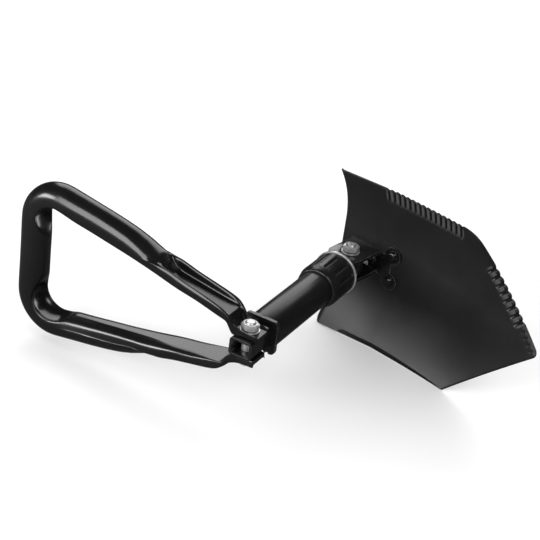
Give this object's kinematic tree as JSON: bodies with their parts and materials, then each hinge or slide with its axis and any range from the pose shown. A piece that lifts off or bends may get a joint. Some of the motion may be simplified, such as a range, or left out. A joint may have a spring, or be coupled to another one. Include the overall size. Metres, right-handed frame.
{
  "type": "folding camp shovel",
  "caption": "Tri-fold camp shovel, half folded: toothed pointed blade, screw-collar lock, short tube shaft and folding D-handle.",
  "frame": {"origin": "on the shaft's axis, in the middle of the tube's bare length between the handle yoke's plate and the lock collar", "axes": "+X along the shaft towards the blade; +Z along both hinge bolts, towards the blade's toothed edge; +Y completes the right-handed frame, towards the D-handle's grip at rest"},
  "size_m": [0.217, 0.4062, 0.154],
  "materials": {
    "blade_paint": "satin black baked coating over pressed steel",
    "black_paint": "satin black coating over steel",
    "gloss_paint": "semi-gloss black coating over pressed steel tube",
    "dark_steel": "dark phosphated steel",
    "zinc": "bright zinc plate",
    "collar_plastic": "moulded black nylon, fluted"
  },
  "bodies": {
    "shaft": {"shaft_tube": "black_paint", "pivot_fitting": "dark_steel", "cross_pin": "dark_steel", "thread_bush": "dark_steel", "yoke_plate": "black_paint", "handle_yoke": "black_paint", "handle_hinge_sleeve": "zinc"},
    "ring": {"thrust_ring": "zinc"},
    "collar": {"lock_collar": "collar_plastic"},
    "blade_body": {"blade": "blade_paint", "blade_bracket": "black_paint", "bracket_rivets": "black_paint", "blade_hinge_bolt": "zinc", "blade_hinge_nut": "zinc", "blade_hinge_washers": "zinc", "hinge_spacers": "zinc"},
    "handle_body": {"d_handle": "gloss_paint", "handle_hinge_bolt": "zinc", "handle_hinge_nut": "zinc", "handle_hinge_washers": "zinc"}
  },
  "joints": [
    {"name": "blade_fold", "type": "hinge", "parent": "shaft", "child": "blade_body", "pos_m": [0.104, 0, 0], "axis": [0, 0, -1], "range_deg": [-101.5, 78.5]},
    {"name": "handle_fold", "type": "hinge", "parent": "shaft", "child": "handle_body", "pos_m": [-0.062, 0, 0], "axis": [0, 0, -1], "range_deg": [-90, 70]},
    {"name": "collar_travel", "type": "slide", "parent": "shaft", "child": "ring", "axis": [1, 0, 0], "range_m": [-0.004, 0.005]},
    {"name": "collar_turn", "type": "hinge", "parent": "ring", "child": "collar", "pos_m": [0.065, 0, 0], "axis": [1, 0, 0], "range_deg": [-490, 610]}
  ],
  "couplings": [
    {"joint": "collar_turn", "follows": "collar_travel", "rad_per_m": 2094.4}
  ]
}
